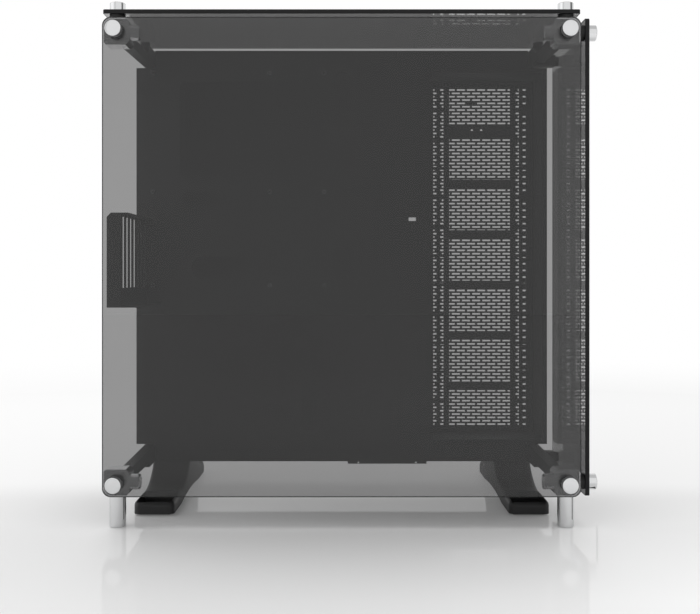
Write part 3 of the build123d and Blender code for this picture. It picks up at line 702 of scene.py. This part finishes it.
@dataclass
class ChromeFixings:
    """Chrome knobs that clamp the panes, and the two chrome legs."""

    knob_radius: float = 9.2 * MILLIMETRE
    knob_height: float = 9.5 * MILLIMETRE
    knob_edge: float = 0.8 * MILLIMETRE
    seat_edge: float = 0.32 * MILLIMETRE
    leg_radius: float = 9.5 * MILLIMETRE
    leg_edge: float = 1.2 * MILLIMETRE
    shank_radius: float = 3.0 * MILLIMETRE
    arc_steps: int = 6

    def rounded_end(self, radius: float, height: float, edge: float) -> list[Span]:
        """Outline of a flat end with a rounded rim, from the rim to the middle."""
        angles = [math.pi / 2 * step / self.arc_steps for step in range(self.arc_steps + 1)]
        arc = [(radius - edge + edge * math.cos(angle), height - edge + edge * math.sin(angle))
               for angle in angles]
        return arc + [(radius / 2, height), (0.0, height)]

    def knob_outline(self, depth: float) -> list[Span]:
        """Outline of a knob and its shank, from the shank's end to the face.

        Args:
            depth: Length of the shank behind the knob.

        Returns:
            Points of radius and height.
        """
        seat = [(0.0, -depth), (self.shank_radius, -depth), (self.shank_radius, 0.0),
                (self.knob_radius - self.seat_edge, 0.0), (self.knob_radius, self.seat_edge)]
        return seat + self.rounded_end(self.knob_radius, self.knob_height, self.knob_edge)

    def seats(self, node: str, axis: int, far: bool) -> list[Vector]:
        """Centres of the knobs of one pane, on the pane's outer face.

        Args:
            node: The knobs' node.
            axis: The axis that the knobs point along, 0 for X, 1 for Y or 2 for Z.
            far: Whether the knobs point along the axis and not against it.

        Returns:
            One centre for each knob.
        """
        low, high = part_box(node)
        ranges = []
        for index in range(3):
            if index == axis:
                face = high[index] - self.knob_height if far else low[index] + self.knob_height
                ranges.append([face])
            elif high[index] - low[index] < 3 * self.knob_radius:
                ranges.append([(high[index] + low[index]) / 2])
            else:
                ranges.append([low[index] + self.knob_radius, high[index] - self.knob_radius])
        return [Vector((x, y, z)) for x in ranges[0] for y in ranges[1] for z in ranges[2]]

    def build(self, chrome: bpy.types.Material) -> None:
        """Turn the knobs and the legs and dress them in chrome."""
        rows = (("front_knobs", 1, False, Direction.FRONT), ("top_knobs", 2, True, Direction.UP),
                ("side_knobs", 0, True, Direction.RIGHT))
        for node, axis, far, direction in rows:
            low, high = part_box(node)
            depth = high[axis] - low[axis] - self.knob_height
            knob = TurnedPiece(f"{node}_turned", self.knob_outline(depth))
            piece = knob.place([(seat, direction) for seat in self.seats(node, axis, far)])
            dress(piece, chrome, node)
        for node in ("leg_left", "leg_right"):
            low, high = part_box(node)
            centre = (low + high) / 2
            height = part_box("bracket_bottom_left")[0].z
            shank = height - high.z
            outline = [(0.0, shank), (self.shank_radius, shank), (self.shank_radius, 0.0),
                       (self.leg_radius, 0.0)]
            outline += self.rounded_end(self.leg_radius, height, self.leg_edge)
            seat = Vector((centre.x, centre.y, height))
            leg = TurnedPiece(f"{node}_turned", outline)
            dress(leg.place([(seat, Direction.DOWN)]), chrome, node)


def separate_boxes(node: str) -> list[tuple[Vector, Vector]]:
    """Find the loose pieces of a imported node.

    Args:
        node: The node's name.

    Returns:
        The lowest and highest corners of each piece.
    """
    mesh = bmesh.new()
    mesh.from_mesh(bpy.data.objects[node].data)
    bmesh.ops.remove_doubles(mesh, verts=mesh.verts, dist=PACKED_WELD)
    left, boxes = set(mesh.verts), []
    while left:
        piece, edge = set(), [left.pop()]
        while edge:
            vert = edge.pop()
            piece.add(vert)
            fresh = {link.other_vert(vert) for link in vert.link_edges} & left
            left -= fresh
            edge.extend(fresh)
        places = [vert.co for vert in piece]
        boxes.append((Vector(min(p[i] for p in places) for i in range(3)),
                      Vector(max(p[i] for p in places) for i in range(3))))
    mesh.free()
    return sorted(boxes, key=lambda box: tuple(round(value, 5) for value in box[0]))


@dataclass
class CoverScrews:
    """Knurled thumbscrews that hold the two rear covers."""

    head_height: float = 7.0 * MILLIMETRE
    shank_radius: float = 1.6 * MILLIMETRE
    collar_height: float = 0.8 * MILLIMETRE
    collar_share: float = 0.78
    rim: float = 0.6 * MILLIMETRE
    dish_depth: float = 1.0 * MILLIMETRE
    dish_share: float = 0.66
    dish_floor_share: float = 0.58
    knurl_lines: int = 40
    ridge_depth: float = 0.35 * MILLIMETRE
    smooth_angle: float = 0.4

    def outline(self, radius: float, shank: float) -> list[Span]:
        """Draw a screw from its shank's end to its dished face.

        Args:
            radius: Radius of the head.
            shank: Length of the shank.

        Returns:
            Points of radius and height.
        """
        collar, top = radius * self.collar_share, self.head_height
        return [
            (0.0, -shank), (self.shank_radius, -shank), (self.shank_radius, 0.0), (collar, 0.0),
            (collar, self.collar_height), (radius - self.rim, self.collar_height),
            (radius, self.collar_height + self.rim), (radius, top - self.rim), (radius - self.rim, top),
            (radius * self.dish_share, top), (radius * self.dish_floor_share, top - self.dish_depth),
            (0.0, top - self.dish_depth),
        ]

    def build(self, finish: bpy.types.Material) -> None:
        """Turn a screw for each one that was packed."""
        boxes = separate_boxes("cover_screws")
        low, high = boxes[0]
        outline = self.outline((high.x - low.x) / 2, high.y - low.y - self.head_height)
        screw = TurnedPiece("cover_screws_turned", outline, self.knurl_lines, self.ridge_depth)
        seats = [(Vector(((first.x + last.x) / 2, last.y - self.head_height, (first.z + last.z) / 2)),
                  Direction.BACK) for first, last in boxes]
        dress(screw.place(seats, self.smooth_angle), finish, "cover_screws")


@dataclass
class ToePocket:
    """The pocket in the toe of a foot, opened forward to a thin front wall with a low lip."""

    side_wall: float = 3.5 * MILLIMETRE
    front_wall: float = 2.2 * MILLIMETRE
    floor: float = 6.5 * MILLIMETRE
    toe_height: float = 18.5 * MILLIMETRE
    reach: float = 52.0 * MILLIMETRE
    lip_drop: float = 2.4 * MILLIMETRE
    lip_reach: float = 4.0 * MILLIMETRE
    overshoot: float = 1.0 * MILLIMETRE

    def hollows(self, node: str) -> tuple[tuple[Vector, Vector], ...]:
        """Work out the boxes to cut from a foot.

        Args:
            node: The foot's node.

        Returns:
            The lowest and highest corners of each box.
        """
        low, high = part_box(node)
        top = self.toe_height + self.overshoot
        pocket = (Vector((low.x + self.side_wall, low.y + self.front_wall, self.floor)),
                  Vector((high.x - self.side_wall, low.y + self.reach, top)))
        lip_side = 2 * self.side_wall
        lip = (Vector((low.x + lip_side, low.y - self.overshoot, self.toe_height - self.lip_drop)),
               Vector((high.x - lip_side, low.y + self.lip_reach, top)))
        return pocket, lip


@dataclass
class EasedShell:
    """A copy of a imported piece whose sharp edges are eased, as moulded or cast edges are."""

    node: str
    width: float
    segments: int = 3
    angle: float = 0.5
    flat_angle: float = 0.01
    hollows: tuple[tuple[Vector, Vector], ...] = ()

    def hollow_out(self, piece: bpy.types.Object) -> None:
        """Cut the hollows, given as boxes, out of the piece."""
        for low, high in self.hollows:
            mesh = bmesh.new()
            bmesh.ops.create_cube(mesh, size=1.0)
            bmesh.ops.scale(mesh, vec=high - low, verts=mesh.verts)
            bmesh.ops.translate(mesh, vec=(high + low) / 2, verts=mesh.verts)
            cutter = mesh_object("hollow_cutter", mesh)
            cut = piece.modifiers.new("hollow", "BOOLEAN")
            cut.object = cutter
            cut.operation = "DIFFERENCE"
            cut.solver = "EXACT"
            evaluated = piece.evaluated_get(bpy.context.evaluated_depsgraph_get())
            solid = bpy.data.meshes.new_from_object(evaluated)
            piece.modifiers.clear()
            piece.data = solid
            bpy.data.objects.remove(cutter)
        piece.data.set_sharp_from_angle(angle=self.angle)

    def build(self, slot: str, finish: bpy.types.Material) -> None:
        """Copy the node's mesh, merge it and bevel its edges.

        Args:
            slot: The material slot; not used.
            finish: The material.
        """
        mesh = bmesh.new()
        mesh.from_mesh(bpy.data.objects[self.node].data)
        bmesh.ops.remove_doubles(mesh, verts=mesh.verts, dist=PACKED_WELD)
        bmesh.ops.dissolve_limit(mesh, angle_limit=self.flat_angle, verts=mesh.verts, edges=mesh.edges)
        piece = mesh_object(f"{self.node}_eased", mesh, self.angle)
        if self.hollows:
            self.hollow_out(piece)
        bevel = piece.modifiers.new("eased_edges", "BEVEL")
        bevel.width = self.width
        bevel.segments = self.segments
        bevel.limit_method = "ANGLE"
        bevel.angle_limit = self.angle
        bevel.use_clamp_overlap = True
        dress(piece, finish, self.node)


@dataclass
class PerforatedCover:
    """Rear cover of the well, punched all over with a brick pattern of slots."""

    pitch_x: float = 14.3 * MILLIMETRE
    pitch_z: float = 4.72 * MILLIMETRE
    slot_length: float = 11.3 * MILLIMETRE
    slot_height: float = 2.3 * MILLIMETRE
    columns: int = 10
    rows: int = 101
    shift: float = -2.65 * MILLIMETRE
    notch_x: float = 25.0 * MILLIMETRE
    notch_z: float = 23.0 * MILLIMETRE
    blank: tuple[int, int] = (4, 4)
    decimals: int = 6

    def slot_centres(self, middle: Vector) -> list[Span]:
        """Centres in X and Z of every slot, row by row from the top.

        Args:
            middle: Middle of the sheet.

        Returns:
            One pair for each slot.
        """
        centres = []
        for row in range(self.rows):
            z = middle.z + ((self.rows - 1) / 2 - row) * self.pitch_z
            count = self.columns - row % 2
            for index in range(count):
                if (row, index) != self.blank:
                    x = middle.x + self.shift + (index - (count - 1) / 2) * self.pitch_x
                    centres.append((x, z))
        return centres

    def grid(self, low: Vector, high: Vector, centres: list[Span]) -> bmesh.types.BMesh:
        """Lay a grid whose lines run along the slots, the notches and the sheet's edges.

        Args:
            low: The sheet's lowest corner.
            high: The sheet's highest corner.
            centres: Centres of the slots.

        Returns:
            The grid, on the sheet's front face.
        """
        xs = {x + side * self.slot_length / 2 for x, _ in centres for side in (-1, 1)}
        zs = {z + side * self.slot_height / 2 for _, z in centres for side in (-1, 1)}
        xs |= {low.x, high.x, high.x - self.notch_x}
        zs |= {low.z, high.z, low.z + self.notch_z, high.z - self.notch_z}
        columns = sorted({round(x, self.decimals) for x in xs})
        rows = sorted({round(z, self.decimals) for z in zs})
        mesh = bmesh.new()
        bmesh.ops.create_grid(mesh, x_segments=len(columns) - 1, y_segments=len(rows) - 1, size=0.5)
        for vert in mesh.verts:
            column = round((vert.co.x + 0.5) * (len(columns) - 1))
            row = round((vert.co.y + 0.5) * (len(rows) - 1))
            vert.co = Vector((columns[column], low.y, rows[row]))
        return mesh

    def is_open(self, place: Vector, low: Vector, high: Vector, slots: dict[float, list[float]]) -> bool:
        """Tell whether a place on the sheet is in a slot or a notch.

        Args:
            place: The place.
            low: The sheet's lowest corner.
            high: The sheet's highest corner.
            slots: Each row's height, with the centres of its slots.

        Returns:
            True where there is no metal.
        """
        if place.x > high.x - self.notch_x and not low.z + self.notch_z < place.z < high.z - self.notch_z:
            return True
        nearest = min(slots, key=lambda z: abs(z - place.z))
        return abs(nearest - place.z) < self.slot_height / 2 and any(
            abs(x - place.x) < self.slot_length / 2 for x in slots[nearest])

    def build(self, finish: bpy.types.Material) -> None:
        """Punch the sheet and dress it.

        Args:
            finish: The sheet's coat.
        """
        low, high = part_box("vent_cover")
        centres = self.slot_centres((low + high) / 2)
        slots: dict[float, list[float]] = {}
        for x, z in centres:
            slots.setdefault(z, []).append(x)
        mesh = self.grid(low, high, centres)
        cut = [face for face in mesh.faces if self.is_open(face.calc_center_median(), low, high, slots)]
        bmesh.ops.delete(mesh, geom=cut, context="FACES")
        bmesh.ops.recalc_face_normals(mesh, faces=mesh.faces)
        for face in mesh.faces:
            if face.normal.y > 0:
                face.normal_flip()
        sheet = mesh_object("vent_cover_punched", mesh)
        thicken = sheet.modifiers.new("sheet_gauge", "SOLIDIFY")
        thicken.thickness = high.y - low.y
        thicken.offset = -1.0
        dress(sheet, finish, "vent_cover")


@dataclass
class StudioCamera:
    """The camera that took the view, in front of the case and level with its middle."""

    place: Triple = (-0.0085, -1.27125, 0.293)
    lens: float = 50.0
    sensor: float = 36.0
    shift_right: float = 0.0114
    shift_up: float = -0.0476

    def build(self) -> None:
        """Set the camera up, looking straight along Y."""
        data = bpy.data.cameras.new("front_camera")
        data.lens = self.lens
        data.sensor_width = self.sensor
        data.shift_x = self.shift_right
        data.shift_y = self.shift_up
        camera = bpy.data.objects.new("front_camera", data)
        camera.location = self.place
        camera.rotation_euler = (math.pi / 2, 0.0, 0.0)
        bpy.context.scene.collection.objects.link(camera)
        bpy.context.scene.camera = camera


@dataclass
class SoftBox:
    """A large soft lamp, which polished pieces don't mirror."""

    name: str = "overhead_softbox"
    place: Triple = (0.0, -0.4, 2.2)
    aim: Triple = (0.0, 0.0, 0.2)
    size: float = 2.0
    power: float = 6.0

    def build(self) -> None:
        """Hang the lamp and turn it to its aim."""
        data = bpy.data.lights.new(self.name, "AREA")
        data.shape = "SQUARE"
        data.size = self.size
        data.energy = self.power
        lamp = bpy.data.objects.new(self.name, data)
        lamp.location = self.place
        heading = Vector(self.aim) - Vector(self.place)
        lamp.rotation_euler = heading.to_track_quat("-Z", "Y").to_euler()
        lamp.visible_camera = False
        lamp.visible_glossy = False
        bpy.context.scene.collection.objects.link(lamp)


@dataclass
class CaseFinishes:
    """Every finish of the case, built once."""

    block_depth: float = 23.55 * MILLIMETRE

    def __post_init__(self) -> None:
        """Build the materials."""
        black_steel = CoatedMetal("black_steel_coat", (0.010, 0.010, 0.0105), (0.013, 0.013, 0.0135),
                                  roughness=0.52, gloss=0.35)
        satin_and_coat = BlockAndArm("satin_block_black_arm",
                                     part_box("bracket_top_left")[0].y + self.block_depth,
                                     metal=(0.84, 0.842, 0.85), coat=(0.012, 0.012, 0.0125),
                                     metal_roughness=0.22)
        chrome = TurnedMetal("polished_chrome", (0.72, 0.725, 0.73), roughness=0.05,
                             grain=0.4 * MILLIMETRE, relief=0.002 * MILLIMETRE)
        black_zinc = TurnedMetal("black_zinc", (0.12, 0.12, 0.125), roughness=0.3,
                                 grain=0.3 * MILLIMETRE, relief=0.003 * MILLIMETRE)
        rubber = SoftPolymer("black_rubber", (0.012, 0.012, 0.012), (0.018, 0.018, 0.018),
                             roughness=0.7, grain=0.8 * MILLIMETRE, relief=0.04 * MILLIMETRE)
        foot = SoftPolymer("foot_moulding", (0.018, 0.018, 0.0185), (0.024, 0.024, 0.0245),
                           roughness=0.5, grain=0.5 * MILLIMETRE, relief=0.03 * MILLIMETRE)
        port = SoftPolymer("port_moulding", (0.016, 0.016, 0.016), (0.02, 0.02, 0.02),
                           roughness=0.45, grain=0.5 * MILLIMETRE, relief=0.02 * MILLIMETRE)
        button = SoftPolymer("button_moulding", (0.03, 0.03, 0.031), (0.034, 0.034, 0.035),
                             roughness=0.22, grain=0.5 * MILLIMETRE, relief=0.005 * MILLIMETRE)
        self.by_slot = {slot: finish.build() for slot, finish in {
            "black_steel": black_steel, "bracket_grey": satin_and_coat, "chrome": chrome,
            "rubber": rubber, "foot_plastic": foot, "port_plastic": port, "button_plastic": button,
            "screw_steel": black_zinc,
        }.items()}
        self.panes = {node: TintedGlass(f"smoke_{node}", across).build() for node, across in {
            "front_glass": Direction.FRONT, "top_glass": Direction.UP, "side_glass": Direction.RIGHT,
        }.items()}


@dataclass
class ComputerCase:
    """The whole case, dressed sub-assembly by sub-assembly."""

    frame: dict
    finishes: CaseFinishes
    bracket_edge: float = 1.0 * MILLIMETRE
    foot_edge: float = 0.8 * MILLIMETRE
    port_edge: float = 0.25 * MILLIMETRE

    def dress_nodes(self) -> None:
        """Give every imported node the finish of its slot."""
        for part in self.frame["record"]["subparts"]:
            node = self.frame["nodes"][part["node"]]
            finish = self.finishes.panes.get(part["node"]) or self.finishes.by_slot[part["material_slot"]]
            if not node.material_slots:
                node.data.materials.append(finish)
            for slot in node.material_slots:
                slot.material = finish
            LOG.info("dressed %s", part["node"])

    def shells(self) -> list[EasedShell]:
        """List the cast and moulded pieces whose edges are eased."""
        brackets = [f"bracket_{row}_{side}" for row in ("top", "bottom") for side in ("left", "right")]
        feet = ["foot_left", "foot_right"]
        return [
            *(EasedShell(node, self.bracket_edge) for node in brackets),
            *(EasedShell(node, self.foot_edge, hollows=ToePocket().hollows(node)) for node in feet),
            EasedShell("port_panel", self.port_edge),
        ]

    def build(self) -> None:
        """Dress the whole case."""
        self.dress_nodes()
        slots = {part["node"]: part["material_slot"] for part in self.frame["record"]["subparts"]}
        finishes = self.finishes.by_slot
        for shell in self.shells():
            slot = slots[shell.node]
            shell.build(slot, finishes[slot])
            LOG.info("eased %s", shell.node)
        ChromeFixings().build(finishes["chrome"])
        LOG.info("turned the chrome fixings")
        CoverScrews().build(finishes["screw_steel"])
        LOG.info("turned the thumbscrews")
        PerforatedCover().build(finishes["black_steel"])
        LOG.info("punched the vent cover")


def main() -> None:
    """Build the case, its studio and its camera."""
    logging.basicConfig(level=logging.INFO, format="%(name)s: %(message)s")
    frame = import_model()
    bpy.context.scene.view_settings.view_transform = "Standard"
    ComputerCase(frame, CaseFinishes()).build()
    studio = StudioWhite()
    studio.build_world()
    studio.build_floor()
    StudioCards().build()
    SoftBox().build()
    StudioCamera().build()


if __name__ == "__main__":
    main()
